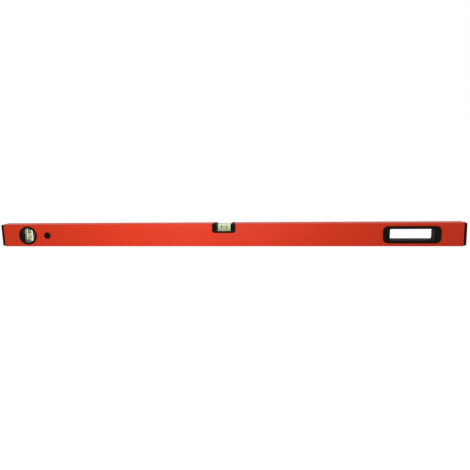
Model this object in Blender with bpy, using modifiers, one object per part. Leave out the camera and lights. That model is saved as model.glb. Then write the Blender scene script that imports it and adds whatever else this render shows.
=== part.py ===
"""Spirit level: a box-section aluminium beam with a centre vial, a plumb vial, a hanging eye and a hand grip.

Frame: +X along the beam, +Z up, the front face looks towards -Y, the origin is the middle of the base face.
"""

import math

import bmesh
import bpy
from mathutils import Vector

MM = 0.001

# Gap kept between pieces that seat on each other
CLEARANCE = 0.3 * MM

# Points closer than this are one point
WELD = 0.001 * MM

# Beam: overall size and extruded section
LENGTH = 1000 * MM  # over both end caps
HEIGHT = 49 * MM  # base face to top face
DEPTH = 23 * MM  # across the two painted side faces
SIDE_WALL = 1.5 * MM
EDGE_WALL = 2.2 * MM  # behind the base and top measuring faces
SECTION_ROUND = 1.0 * MM
CAVITY_ROUND = 0.8 * MM
RIB_RISE = 1.8 * MM  # stiffening ribs that run inside the side walls
RIB_WIDTH = 1.6 * MM
RIB_INSET = 13 * MM  # rib centre from the nearer measuring face

# End caps
CAP_THICK = 6 * MM  # head left outside the beam
CAP_INSET = 1.0 * MM  # head drawn in from the section all round
CAP_CORNER = 1.6 * MM
CAP_EDGE = 1.2 * MM
CAP_PLUG = 18 * MM  # hollow plug inside the beam
CAP_WALL = 2.0 * MM

# Flanges of the moulded inserts, which clip together through the beam from front and rear
FLANGE_THICK = 1.4 * MM
FLANGE_EDGE = 0.6 * MM
LIP_STEP = 0.4 * MM  # the flange's lip stands in from the wall behind it

# Plumb vial housing, near the left end
PLUMB_INSET = 61.5 * MM  # centre from the level's left end
PLUMB_WINDOW = 16 * MM  # radius
PLUMB_SKIRT = 2.6 * MM  # wall between the window and the hole in the beam
PLUMB_LAP = 1.4 * MM  # flange past the hole in the beam
PLUMB_SOCKET_WALL = 1.0 * MM  # left outside the vial's sockets
PLUMB_SPIGOT = 2.2 * MM  # front skirt's lip inside the rear skirt's rebate
PLUMB_SPIGOT_WALL = 0.8 * MM
PLUMB_BLOCK_WIDTH = 18 * MM
PLUMB_BLOCK_DEPTH = 14 * MM
PLUMB_PLUG = 3.2 * MM
PLUMB_BUBBLE = 9 * MM  # length

# Hanging eye, beside the plumb vial
EYE_INSET = 106.6 * MM
EYE_BORE = 5.0 * MM  # radius
EYE_WALL = 1.2 * MM
EYE_LAP = 0.6 * MM

# Centre vial holder, a U that fills a notch in the top of the beam
HOLDER_WIDTH = 50 * MM
HOLDER_DROP = 19.6 * MM  # foot of the U below the top face
HOLDER_ROUND = 6 * MM
HOLDER_LAP = 1.8 * MM  # flange past the notch
HOLDER_WINDOW = 29 * MM
HOLDER_SILL = 3.7 * MM
HOLDER_SINK = 0.2 * MM  # top of the posts below the top face
HOLDER_ROOF = 1.2 * MM  # post's wall over the vial block
POST_ROUND = 2.0 * MM
SILL_ROUND = 1.2 * MM
HOLDER_PEG = 1.0 * MM  # radius
HOLDER_PEG_REACH = 3.5 * MM
HOLDER_POST_WALL = 4.1 * MM  # left outside the ends of the vial block
CENTRE_BLOCK_DEPTH = 17 * MM
CENTRE_PLUG = 3.2 * MM
CENTRE_BUBBLE = 11 * MM  # length
CENTRE_BUBBLE_RISE = 4 * MM

# Vials: a barrel-shaped bore in a clear block, with two gauge rings round the liquid
BORE = 5.0 * MM  # radius at the middle
BARREL_SAG = 0.3 * MM  # the bore narrows this much towards its ends
RING_WIDTH = 0.8 * MM
RING_THICK = 0.3 * MM
RING_MARGIN = 0.4 * MM  # between a centred bubble's end and a ring
BLOCK_EDGE = 0.5 * MM

# Hand grip, near the right end
GRIP_INSET = 109.5 * MM  # centre from the level's right end
GRIP_WINDOW_LENGTH = 89 * MM
GRIP_WINDOW_HEIGHT = 24 * MM
GRIP_WINDOW_ROUND = 2.5 * MM
GRIP_END_WIDTH = 14 * MM  # flange beside the window's ends
GRIP_EDGE_WIDTH = 6 * MM  # flange above and below the window
GRIP_ROUND = 10.5 * MM
GRIP_LAP = 2.0 * MM  # flange past the cut-out in the beam
GRIP_SLEEVE = 2.2 * MM  # wall round the window
GRIP_SKIRT = 1.8 * MM  # wall inside the cut-out
GRIP_SKIRT_DEPTH = 7 * MM
GRIP_POST = 3.0 * MM  # radius
GRIP_POST_SPREAD = 16 * MM  # between the two posts at each end
GRIP_PEG = 1.4 * MM  # radius
GRIP_PEG_REACH = 4.5 * MM

# Facets
ARC_STEPS = 5
ROUND_SIDES = 36
BORE_SIDES = 20
PEG_SIDES = 10
BARREL_STEPS = 6
FLUID_STEPS = 2
EDGE_SEGMENTS = 2
SMOOTH_ANGLE = math.radians(40)

PART_GROUP = "spirit_level"
CUTTER_GROUP = "cutters"

# Colour, roughness and metallic value of each finish
FINISHES = {
    "red_paint": ((0.62, 0.045, 0.012), 0.35, 0.0),
    "black_cap": ((0.016, 0.014, 0.012), 0.5, 0.0),
    "black_insert": ((0.012, 0.011, 0.009), 0.4, 0.0),
    "clear_acrylic": ((0.85, 0.9, 0.84), 0.05, 0.0),
    "green_fluid": ((0.55, 0.62, 0.12), 0.1, 0.0),
    "air_bubble": ((0.9, 0.95, 0.85), 0.05, 0.0),
    "black_ring": ((0.01, 0.01, 0.01), 0.5, 0.0),
    "vial_plug": ((0.7, 0.72, 0.62), 0.4, 0.0),
}

# How a piece modelled in its own frame turns into the level's frame, in degrees
TO_FRONT = (90, 0, 0)
TO_REAR = (90, 0, 180)
TO_RIGHT = (90, 0, 90)
TO_LEFT = (90, 0, -90)
PLUG_DOWN = (180, 0, 0)

# Places worked out from the sizes above
PLUMB_X = PLUMB_INSET - LENGTH / 2
EYE_X = EYE_INSET - LENGTH / 2
GRIP_X = LENGTH / 2 - GRIP_INSET
MIDDLE_Z = HEIGHT / 2
BEAM_HALF = LENGTH / 2 - CAP_THICK - CLEARANCE
SEAT = DEPTH / 2 + CLEARANCE  # underside of a flange, from the middle plane
FACE = SEAT + FLANGE_THICK  # front of a flange
PLANE = CLEARANCE / 2  # where two insert halves meet, from the middle plane
ROOT = SEAT + FLANGE_THICK / 2  # how far a wall reaches into its flange
PEG_ROOT = DEPTH / 4  # how far a peg reaches back into its post
CENTRE_BLOCK_LENGTH = HOLDER_WIDTH - 2 * (HOLDER_LAP + HOLDER_POST_WALL + 2 * CLEARANCE)


def group(name):
    """The named collection, made and linked on first use."""
    found = bpy.data.collections.get(name)
    if found is None:
        found = bpy.data.collections.new(name)
        bpy.context.scene.collection.children.link(found)
    return found


def finish_material(name):
    """Principled material of a finish, made on first use."""
    found = bpy.data.materials.get(name)
    if found is None:
        colour, roughness, metallic = FINISHES[name]
        found = bpy.data.materials.new(name)
        found.use_nodes = True
        shader = found.node_tree.nodes["Principled BSDF"]
        shader.inputs["Base Color"].default_value = (*colour, 1)
        shader.inputs["Roughness"].default_value = roughness
        shader.inputs["Metallic"].default_value = metallic
        found.diffuse_color = (*colour, 1)
    return found


def station(name, x, z):
    """Empty that carries the pieces of one group, at a place on the beam's middle plane."""
    empty = bpy.data.objects.new(name, None)
    empty.location = (x, 0, z)
    group(PART_GROUP).objects.link(empty)
    return empty


def place(name, mesh, home, turn, offset, into):
    """Object with the mesh, turned and set on its station."""
    mesh.name = name
    body = bpy.data.objects.new(name, mesh)
    body.parent = home
    body.location = offset
    body.rotation_euler = [math.radians(angle) for angle in turn]
    group(into).objects.link(body)
    return body


def part(name, mesh, finish, home, turn=(0, 0, 0), offset=(0, 0, 0)):
    """One named piece of the level."""
    mesh.shade_smooth()
    mesh.set_sharp_from_angle(angle=SMOOTH_ANGLE)
    body = place(name, mesh, home, turn, offset, PART_GROUP)
    body.data.materials.append(finish_material(finish))
    return body


def combine(body, operation, name, mesh, home, turn=(0, 0, 0), offset=(0, 0, 0), solver="EXACT"):
    """Cuts the mesh from a piece, or joins it on, with a live Boolean."""
    operand = place(name, mesh, home, turn, offset, CUTTER_GROUP)
    operand.hide_render = True
    operand.display_type = "WIRE"
    step = body.modifiers.new(name, "BOOLEAN")
    step.operation = operation
    step.solver = solver
    step.object = operand


def round_edges(body, width):
    """Rounds the piece's sharp edges, before any cut that follows."""
    step = body.modifiers.new("round_edges", "BEVEL")
    step.width = width
    step.segments = EDGE_SEGMENTS
    step.limit_method = "ANGLE"
    step.angle_limit = SMOOTH_ANGLE


def evaluated_mesh(source):
    """Closed mesh of an object with its modifiers; the object itself is removed."""
    bpy.context.scene.collection.objects.link(source)
    graph = bpy.context.evaluated_depsgraph_get()
    mesh = bpy.data.meshes.new_from_object(source.evaluated_get(graph))
    bpy.data.objects.remove(source)
    shape = bmesh.new()
    shape.from_mesh(mesh)
    bmesh.ops.remove_doubles(shape, verts=shape.verts, dist=WELD)
    bmesh.ops.recalc_face_normals(shape, faces=shape.faces)
    shape.to_mesh(mesh)
    shape.free()
    return mesh


def plate(outlines, low, high):
    """Flat outlines, the inner ones holes, as a slab from low to high along Z."""
    curve = bpy.data.curves.new("outline", "CURVE")
    curve.dimensions = "2D"
    curve.fill_mode = "BOTH"
    curve.extrude = (high - low) / 2
    for outline in outlines:
        spline = curve.splines.new("POLY")
        spline.points.add(len(outline) - 1)
        spline.use_cyclic_u = True
        for point, (x, y) in zip(spline.points, outline):
            point.co = (x, y, 0, 1)
    mesh = evaluated_mesh(bpy.data.objects.new("outline", curve))
    middle = Vector((0, 0, (low + high) / 2))
    for vertex in mesh.vertices:
        vertex.co += middle
    return mesh


def turned(profile, sides):
    """Closed (radius, height) profile spun round Z; it runs across the top and down the outer side."""
    mesh = bpy.data.meshes.new("profile")
    count = len(profile)
    points = [(radius, 0, height) for radius, height in profile]
    mesh.from_pydata(points, [(i, (i + 1) % count) for i in range(count)], [])
    spun = bpy.data.objects.new("profile", mesh)
    screw = spun.modifiers.new("spin", "SCREW")
    screw.steps = sides
    screw.render_steps = sides
    screw.use_merge_vertices = True
    screw.merge_threshold = WELD
    return evaluated_mesh(spun)


def rod(radius, low, high, sides):
    """Cylinder along Z."""
    shape = bmesh.new()
    bmesh.ops.create_cone(
        shape, cap_ends=True, segments=sides, radius1=radius, radius2=radius, depth=high - low
    )
    bmesh.ops.translate(shape, verts=shape.verts, vec=(0, 0, (low + high) / 2))
    return finished(shape)


def ball(half_sizes):
    """Ellipsoid about the origin."""
    shape = bmesh.new()
    bmesh.ops.create_uvsphere(shape, u_segments=BORE_SIDES, v_segments=BORE_SIDES // 2, radius=1)
    bmesh.ops.scale(shape, verts=shape.verts, vec=half_sizes)
    return finished(shape)


def oval_rod(half_sizes, end):
    """Elliptic cylinder from the origin to a height on Z, above or below it."""
    shape = bmesh.new()
    bmesh.ops.create_cone(shape, cap_ends=True, segments=BORE_SIDES, radius1=1, radius2=1, depth=1)
    bmesh.ops.translate(shape, verts=shape.verts, vec=(0, 0, 0.5))
    bmesh.ops.scale(shape, verts=shape.verts, vec=(half_sizes[0], half_sizes[1], end))
    bmesh.ops.recalc_face_normals(shape, faces=shape.faces)
    return finished(shape)


def box(low, high):
    """Box between two corners."""
    shape = bmesh.new()
    bmesh.ops.create_cube(shape, size=1)
    size = Vector(high) - Vector(low)
    bmesh.ops.scale(shape, verts=shape.verts, vec=size)
    bmesh.ops.translate(shape, verts=shape.verts, vec=(Vector(low) + Vector(high)) / 2)
    return finished(shape)


def finished(shape):
    """Mesh of a bmesh, which is freed."""
    mesh = bpy.data.meshes.new("shape")
    shape.to_mesh(mesh)
    shape.free()
    return mesh


def rounded(corners):
    """Outline through (x, y, radius) corners, with an arc at each corner that has a radius."""
    outline = []
    for index, (x, y, radius) in enumerate(corners):
        corner = Vector((x, y))
        if radius <= 0:
            outline.append(tuple(corner))
            continue
        back = (Vector(corners[index - 1][:2]) - corner).normalized()
        ahead = (Vector(corners[(index + 1) % len(corners)][:2]) - corner).normalized()
        half_angle = back.angle(ahead) / 2
        centre = corner + (back + ahead).normalized() * radius / math.sin(half_angle)
        start = corner + back * radius / math.tan(half_angle) - centre
        end = corner + ahead * radius / math.tan(half_angle) - centre
        first = math.atan2(start.y, start.x)
        sweep = (math.atan2(end.y, end.x) - first + math.pi) % math.tau - math.pi
        for step in range(ARC_STEPS + 1):
            angle = first + sweep * step / ARC_STEPS
            outline.append((centre.x + radius * math.cos(angle), centre.y + radius * math.sin(angle)))
    return outline


def rounded_box(half_width, half_height, radius, middle=0):
    """Rectangle with rounded corners; its middle lies on the Y axis."""
    low = middle - half_height
    high = middle + half_height
    corners = [(-half_width, low), (half_width, low), (half_width, high), (-half_width, high)]
    return rounded([(x, y, radius) for x, y in corners])


def cavity_outline(margin):
    """Inside of the beam section with its ribs, drawn in by a margin all round."""
    wall = DEPTH / 2 - SIDE_WALL - margin
    rib_tip = wall - RIB_RISE
    rib_half = RIB_WIDTH / 2 + margin
    floor = EDGE_WALL + margin
    right_side = [(wall, floor, CAVITY_ROUND)]
    for rib in (RIB_INSET, HEIGHT - RIB_INSET):
        right_side += [
            (wall, rib - rib_half, 0),
            (rib_tip, rib - rib_half, 0),
            (rib_tip, rib + rib_half, 0),
            (wall, rib + rib_half, 0),
        ]
    right_side.append((wall, HEIGHT - floor, CAVITY_ROUND))
    left_side = [(-x, y, radius) for x, y, radius in reversed(right_side)]
    return rounded(right_side + left_side)


def holder_outline(half_width, drop, foot_round, window_half, window_drop):
    """U shape that hangs from the top face and is open above the vial."""
    foot = HEIGHT - drop
    sill = HEIGHT - window_drop
    top = HEIGHT - HOLDER_SINK
    right_side = [
        (half_width, foot, foot_round),
        (half_width, top, 0),
        (window_half, top, POST_ROUND),
        (window_half, sill, SILL_ROUND),
    ]
    left_side = [(-x, y, radius) for x, y, radius in reversed(right_side)]
    return rounded(right_side + left_side)


def block_outline(half_width, radius):
    """Circle with its two sides cut off straight, so that its round ends follow a housing."""
    first = math.acos(half_width / radius)
    steps = 2 * ARC_STEPS + 1  # odd, so that no corner lies over the bore's middle
    outline = []
    for start in (first, first + math.pi):
        for step in range(steps + 1):
            angle = start + (math.pi - 2 * first) * step / steps
            outline.append((radius * math.cos(angle), radius * math.sin(angle)))
    return outline


def barrel(along, chamber):
    """Radius of a vial's bore at a distance from its middle."""
    return BORE - BARREL_SAG * (along / chamber) ** 2


def ring_place(bubble):
    """Middle of a gauge ring from the middle of the vial."""
    return bubble / 2 + RING_MARGIN + RING_WIDTH / 2


def ring_inside(bubble, chamber):
    """Inner radius of a gauge ring."""
    return barrel(ring_place(bubble), chamber) - CLEARANCE - RING_THICK


def track_radius(bubble, chamber):
    """Radius that a bubble keeps inside, to pass under the rings."""
    return ring_inside(bubble, chamber) - CLEARANCE


def bore_cutter(chamber, mouth):
    """Barrel-shaped bore from its blind end to beyond its mouth, along Z."""
    heights = [chamber - 2 * chamber * step / BARREL_STEPS for step in range(BARREL_STEPS + 1)]
    wall = [(barrel(height, chamber), height) for height in heights]
    return turned([(0, mouth), (barrel(chamber, chamber), mouth)] + wall + [(0, -chamber)], BORE_SIDES)


def fluid_body(chamber, bubble):
    """Liquid that fills the bore, with grooves that clear the two gauge rings."""
    end = chamber - CLEARANCE
    groove = ring_inside(bubble, chamber) - CLEARANCE
    near = ring_place(bubble) - RING_WIDTH / 2 - CLEARANCE
    far = ring_place(bubble) + RING_WIDTH / 2 + CLEARANCE
    wall = barrel_wall(end, far, chamber)
    wall += [(groove, far), (groove, near)]
    wall += barrel_wall(near, -near, chamber)
    wall += [(groove, -near), (groove, -far)]
    wall += barrel_wall(-far, -end, chamber)
    return turned([(0, end)] + wall + [(0, -end)], BORE_SIDES)


def barrel_wall(top, bottom, chamber):
    """Side of the liquid between two heights, just inside the bore."""
    heights = [top + (bottom - top) * step / FLUID_STEPS for step in range(FLUID_STEPS + 1)]
    return [(barrel(height, chamber) - CLEARANCE, height) for height in heights]


def gauge_ring(bubble, chamber):
    """Thin band that marks one end of a centred bubble."""
    inside = ring_inside(bubble, chamber)
    half = RING_WIDTH / 2
    outside = inside + RING_THICK
    return turned([(inside, half), (outside, half), (outside, -half), (inside, -half)], BORE_SIDES)


def vial(
    prefix, home, turn, axis_offset, block, chamber, mouth, plug, bubble, bubble_half, bubble_at, vent, rings
):
    """Clear block with its liquid, bubble, gauge rings and plug; Z of the vial's frame runs to the plug."""
    seat = dict(home=home, turn=turn, offset=axis_offset)
    combine(block, "DIFFERENCE", f"{prefix}_bore", bore_cutter(chamber, mouth), **seat)
    fluid = part(f"{prefix}_vial_fluid", fluid_body(chamber, bubble), "green_fluid", **seat)
    frame = fluid.matrix_basis.to_3x3()
    resting = Vector(axis_offset) + frame @ Vector(bubble_at)
    room = [half + CLEARANCE for half in bubble_half]
    combine(fluid, "DIFFERENCE", f"{prefix}_bubble_room", ball(room), home, turn, resting)
    combine(fluid, "DIFFERENCE", f"{prefix}_bubble_vent", vent(room), home, turn, resting)
    part(f"{prefix}_vial_bubble", ball(bubble_half), "air_bubble", home, turn, resting)
    stopper = rod(barrel(chamber, chamber) - CLEARANCE, chamber, chamber + plug, BORE_SIDES)
    part(f"{prefix}_vial_plug", stopper, "vial_plug", **seat)
    for side, name in zip((-1, 1), rings):
        along = frame @ Vector((0, 0, side * ring_place(bubble)))
        ring = gauge_ring(bubble, chamber)
        part(f"{prefix}_gauge_ring_{name}", ring, "black_ring", home, turn, Vector(axis_offset) + along)


def beam():
    """Extruded section with ribs inside, cut through for the inserts."""
    outer = rounded_box(DEPTH / 2, MIDDLE_Z, SECTION_ROUND, MIDDLE_Z)
    section = plate([outer, cavity_outline(0)], -BEAM_HALF, BEAM_HALF)
    body = part("beam_profile", section, "red_paint", None, TO_RIGHT)
    through = DEPTH
    plumb_hole = PLUMB_WINDOW + PLUMB_SKIRT + CLEARANCE
    eye_hole = EYE_BORE + EYE_WALL + CLEARANCE
    for name, radius, x in (("plumb_hole", plumb_hole, PLUMB_X), ("eye_hole", eye_hole, EYE_X)):
        tool = rod(radius, -through, through, ROUND_SIDES)
        combine(body, "DIFFERENCE", name, tool, None, TO_FRONT, (x, 0, MIDDLE_Z))
    cut_out = plate([rounded_box(*grip_cut_out(), GRIP_ROUND - GRIP_LAP)], -through, through)
    combine(body, "DIFFERENCE", "grip_cut_out", cut_out, None, TO_FRONT, (GRIP_X, 0, MIDDLE_Z))
    half = HOLDER_WIDTH / 2 - HOLDER_LAP
    depth = HOLDER_DROP - HOLDER_LAP
    corner = HOLDER_ROUND - HOLDER_LAP
    notch = rounded_box(half, depth, corner, HEIGHT)
    combine(body, "DIFFERENCE", "notch", plate([notch], -through, through), None, TO_FRONT)


def end_cap(name, turn, side):
    """Rounded head with a hollow plug that slides over the ribs inside the beam."""
    head_half = (DEPTH / 2 - CAP_INSET, MIDDLE_Z - CAP_INSET)
    face = LENGTH / 2
    head = plate([rounded_box(*head_half, CAP_CORNER, MIDDLE_Z)], face - CAP_THICK, face)
    body = part(name, head, "black_cap", None, turn)
    round_edges(body, CAP_EDGE)
    root = face - CAP_THICK / 2
    walls = [cavity_outline(CLEARANCE), cavity_outline(CLEARANCE + CAP_WALL)]
    plug = plate(walls, face - CAP_THICK - CAP_PLUG, root)
    combine(body, "UNION", f"{side}_cap_plug", plug, None, turn)


def plumb_half(name, home, turn, is_front):
    """Half of the round housing: a rimmed flange on a skirt, lapped over the other half's skirt."""
    skirt = PLUMB_WINDOW + PLUMB_SKIRT
    rim = skirt + CLEARANCE + PLUMB_LAP
    wall = PLUMB_WINDOW + LIP_STEP
    step = skirt - PLUMB_SPIGOT_WALL
    profile = [
        (PLUMB_WINDOW, FACE - FLANGE_EDGE),
        (PLUMB_WINDOW + FLANGE_EDGE, FACE),
        (rim - FLANGE_EDGE, FACE),
        (rim, FACE - FLANGE_EDGE),
        (rim, SEAT),
        (skirt, SEAT),
    ]
    if is_front:
        profile += [(skirt, -PLUMB_SPIGOT), (step, -PLUMB_SPIGOT), (step, PLANE), (wall, PLANE)]
    else:
        rebate = PLUMB_SPIGOT + CLEARANCE
        inside = step - CLEARANCE
        profile += [(skirt, rebate), (inside, rebate), (inside, PLANE), (wall, PLANE)]
    profile += [(wall, SEAT), (PLUMB_WINDOW, SEAT + LIP_STEP)]
    body = part(name, turned(profile, ROUND_SIDES), "black_insert", home, turn)
    half_width = PLUMB_BLOCK_WIDTH / 2 + CLEARANCE
    half_depth = PLUMB_BLOCK_DEPTH / 2 + CLEARANCE
    pocket = block_outline(half_width, skirt - PLUMB_SOCKET_WALL)
    socket = plate([pocket], -half_depth, half_depth)
    combine(body, "DIFFERENCE", f"{name}_socket", socket, home, turn)


def plumb_vial():
    """Round housing with an upright vial block across its window."""
    home = station("plumb_station", PLUMB_X, MIDDLE_Z)
    plumb_half("plumb_front_housing", home, TO_FRONT, True)
    plumb_half("plumb_rear_housing", home, TO_REAR, False)
    reach = PLUMB_WINDOW + PLUMB_SKIRT - PLUMB_SOCKET_WALL - CLEARANCE
    outline = block_outline(PLUMB_BLOCK_WIDTH / 2, reach)
    half_depth = PLUMB_BLOCK_DEPTH / 2
    block = part(
        "plumb_vial_block", plate([outline], -half_depth, half_depth), "clear_acrylic", home, TO_FRONT
    )
    round_edges(block, BLOCK_EDGE)
    chamber = reach - CLEARANCE - PLUMB_PLUG
    half = track_radius(PLUMB_BUBBLE, chamber) - CLEARANCE
    top_end = -(chamber - CLEARANCE - PLUMB_BUBBLE / 2)
    vial(
        "plumb",
        home,
        PLUG_DOWN,
        (0, 0, 0),
        block,
        chamber,
        mouth=2 * reach,
        plug=PLUMB_PLUG,
        bubble=PLUMB_BUBBLE,
        bubble_half=(half, half, PLUMB_BUBBLE / 2),
        bubble_at=(0, 0, top_end),
        vent=lambda room: oval_rod(room, -PLUMB_BUBBLE),
        rings=("upper", "lower"),
    )


def hanging_eye():
    """Two flanged bushes that line the hanging hole."""
    home = station("eye_station", EYE_X, MIDDLE_Z)
    outside = EYE_BORE + EYE_WALL
    rim = outside + CLEARANCE + EYE_LAP
    profile = [
        (EYE_BORE, FACE - FLANGE_EDGE),
        (EYE_BORE + FLANGE_EDGE, FACE),
        (rim - FLANGE_EDGE, FACE),
        (rim, FACE - FLANGE_EDGE),
        (rim, SEAT),
        (outside, SEAT),
        (outside, PLANE),
        (EYE_BORE, PLANE),
    ]
    for name, turn in (("eye_front_bush", TO_FRONT), ("eye_rear_bush", TO_REAR)):
        part(name, turned(profile, BORE_SIDES), "black_insert", home, turn)


def holder_half(name, home, turn, is_front):
    """Half of the centre vial's holder: a U flange with posts that socket the vial block's ends."""
    flange_half = HOLDER_WIDTH / 2
    window_half = HOLDER_WINDOW / 2
    window_drop = HOLDER_DROP - HOLDER_SILL
    flange = holder_outline(flange_half, HOLDER_DROP, HOLDER_ROUND, window_half, window_drop)
    body = part(name, plate([flange], SEAT, FACE), "black_insert", home, turn)
    round_edges(body, FLANGE_EDGE)
    inset = HOLDER_LAP + CLEARANCE
    posts = holder_outline(
        flange_half - inset,
        HOLDER_DROP - inset,
        HOLDER_ROUND - inset,
        window_half + LIP_STEP,
        window_drop + LIP_STEP,
    )
    combine(body, "UNION", f"{name}_posts", plate([posts], PLANE, ROOT), home, turn)
    low, high = centre_block_heights()
    half_length = CENTRE_BLOCK_LENGTH / 2 + CLEARANCE
    half_depth = CENTRE_BLOCK_DEPTH / 2 + CLEARANCE
    socket = box((-half_length, low - CLEARANCE, -half_depth), (half_length, high + CLEARANCE, half_depth))
    combine(body, "DIFFERENCE", f"{name}_socket", socket, home, turn)
    peg_x = (flange_half - inset + half_length) / 2
    for side in (-1, 1):
        spot = (side * peg_x, 0, (low + high) / 2)
        if is_front:
            peg = rod(HOLDER_PEG, -HOLDER_PEG_REACH, PEG_ROOT, PEG_SIDES)
            combine(body, "UNION", f"{name}_peg", peg, home, turn, spot)
        else:
            hole = rod(HOLDER_PEG + CLEARANCE, 0, HOLDER_PEG_REACH + CLEARANCE, PEG_SIDES)
            combine(body, "DIFFERENCE", f"{name}_peg_hole", hole, home, turn, spot)


def centre_block_heights():
    """Base and top of the centre vial block."""
    low = HEIGHT - HOLDER_DROP + HOLDER_SILL - LIP_STEP + CLEARANCE
    high = HEIGHT - HOLDER_SINK - HOLDER_ROOF - CLEARANCE
    return low, high


def centre_vial():
    """Vial block along the beam, held in the notch by the two halves of its holder."""
    home = station("centre_station", 0, 0)
    holder_half("centre_front_holder", home, TO_FRONT, True)
    holder_half("centre_rear_holder", home, TO_REAR, False)
    low, high = centre_block_heights()
    half_length = CENTRE_BLOCK_LENGTH / 2
    half_depth = CENTRE_BLOCK_DEPTH / 2
    shape = box((-half_length, -half_depth, low), (half_length, half_depth, high))
    block = part("centre_vial_block", shape, "clear_acrylic", home)
    round_edges(block, BLOCK_EDGE)
    chamber = half_length - CLEARANCE - CENTRE_PLUG
    half_rise = CENTRE_BUBBLE_RISE / 2
    track = track_radius(CENTRE_BUBBLE, chamber)
    up = track - half_rise
    half_width = math.sqrt(track**2 - up**2) - CLEARANCE
    vial(
        "centre",
        home,
        TO_RIGHT,
        (0, 0, (low + high) / 2),
        block,
        chamber,
        mouth=2 * half_length,
        plug=CENTRE_PLUG,
        bubble=CENTRE_BUBBLE,
        bubble_half=(half_width, half_rise, CENTRE_BUBBLE / 2),
        bubble_at=(0, up, 0),
        vent=upright_vent,
        rings=("left", "right"),
    )


def upright_vent(room):
    """Oval shaft from a bubble's middle up to the top of the bore, along Y of the vial's frame."""
    shaft = oval_rod((room[0], room[2]), BORE)
    for vertex in shaft.vertices:
        x, y, z = vertex.co
        vertex.co = (x, z, -y)
    return shaft


def grip_flange():
    """Half sizes of the grip's flange."""
    return GRIP_WINDOW_LENGTH / 2 + GRIP_END_WIDTH, GRIP_WINDOW_HEIGHT / 2 + GRIP_EDGE_WIDTH


def grip_cut_out():
    """Half sizes of the cut-out in the beam behind the grip's flange."""
    return [half - GRIP_LAP for half in grip_flange()]


def grip_half(name, home, turn, is_front):
    """Half of the hand grip: a flange with a sleeve round the window and a skirt inside the cut-out."""
    window = [GRIP_WINDOW_LENGTH / 2, GRIP_WINDOW_HEIGHT / 2]
    opening = rounded_box(*window, GRIP_WINDOW_ROUND)
    flange = plate([rounded_box(*grip_flange(), GRIP_ROUND), opening], SEAT, FACE)
    body = part(name, flange, "black_insert", home, turn)
    round_edges(body, FLANGE_EDGE)

    def shape(operation, feature, mesh, offset=(0, 0, 0)):
        """The rounded flange has a hole, which the manifold solver takes."""
        combine(body, operation, f"{name}_{feature}", mesh, home, turn, offset, "MANIFOLD")

    inner = [half + LIP_STEP for half in window]
    outer = [half + GRIP_SLEEVE for half in inner]
    sleeve_round = GRIP_WINDOW_ROUND + LIP_STEP
    sleeve = [rounded_box(*outer, sleeve_round + GRIP_SLEEVE), rounded_box(*inner, sleeve_round)]
    shape("UNION", "sleeve", plate(sleeve, PLANE, ROOT))
    skirt_outer = [half - CLEARANCE for half in grip_cut_out()]
    skirt_inner = [half - GRIP_SKIRT for half in skirt_outer]
    corner = GRIP_ROUND - GRIP_LAP - CLEARANCE
    skirt = [rounded_box(*skirt_outer, corner), rounded_box(*skirt_inner, corner - GRIP_SKIRT)]
    shape("UNION", "skirt", plate(skirt, SEAT - GRIP_SKIRT_DEPTH, ROOT))
    post_x = (outer[0] + skirt_inner[0]) / 2
    for x in (-post_x, post_x):
        for z in (-GRIP_POST_SPREAD / 2, GRIP_POST_SPREAD / 2):
            spot = (x, 0, z)
            shape("UNION", "post", rod(GRIP_POST, PLANE, ROOT, PEG_SIDES), spot)
            if is_front:
                peg = rod(GRIP_PEG, -GRIP_PEG_REACH, PEG_ROOT, PEG_SIDES)
                shape("UNION", "peg", peg, spot)
            else:
                hole = rod(GRIP_PEG + CLEARANCE, 0, GRIP_PEG_REACH + CLEARANCE, PEG_SIDES)
                shape("DIFFERENCE", "peg_hole", hole, spot)


def hand_grip():
    """Two shells that line the hand opening."""
    home = station("grip_station", GRIP_X, MIDDLE_Z)
    grip_half("grip_front_shell", home, TO_FRONT, True)
    grip_half("grip_rear_shell", home, TO_REAR, False)


def even_shading():
    """Keeps flat faces flat in the shading, last of each piece's modifiers."""
    for body in group(PART_GROUP).objects:
        if body.type == "MESH":
            step = body.modifiers.new("even_shading", "WEIGHTED_NORMAL")
            step.keep_sharp = True


def main():
    for old in list(bpy.data.objects):
        bpy.data.objects.remove(old)
    beam()
    end_cap("left_end_cap", TO_LEFT, "left")
    end_cap("right_end_cap", TO_RIGHT, "right")
    plumb_vial()
    hanging_eye()
    centre_vial()
    hand_grip()
    even_shading()


main()
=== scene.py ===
import math

import bmesh
import bpy
from bpy.props import FloatProperty, FloatVectorProperty, PointerProperty
from bpy.types import Operator, Panel, PropertyGroup
from mathutils import Matrix, Vector


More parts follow.
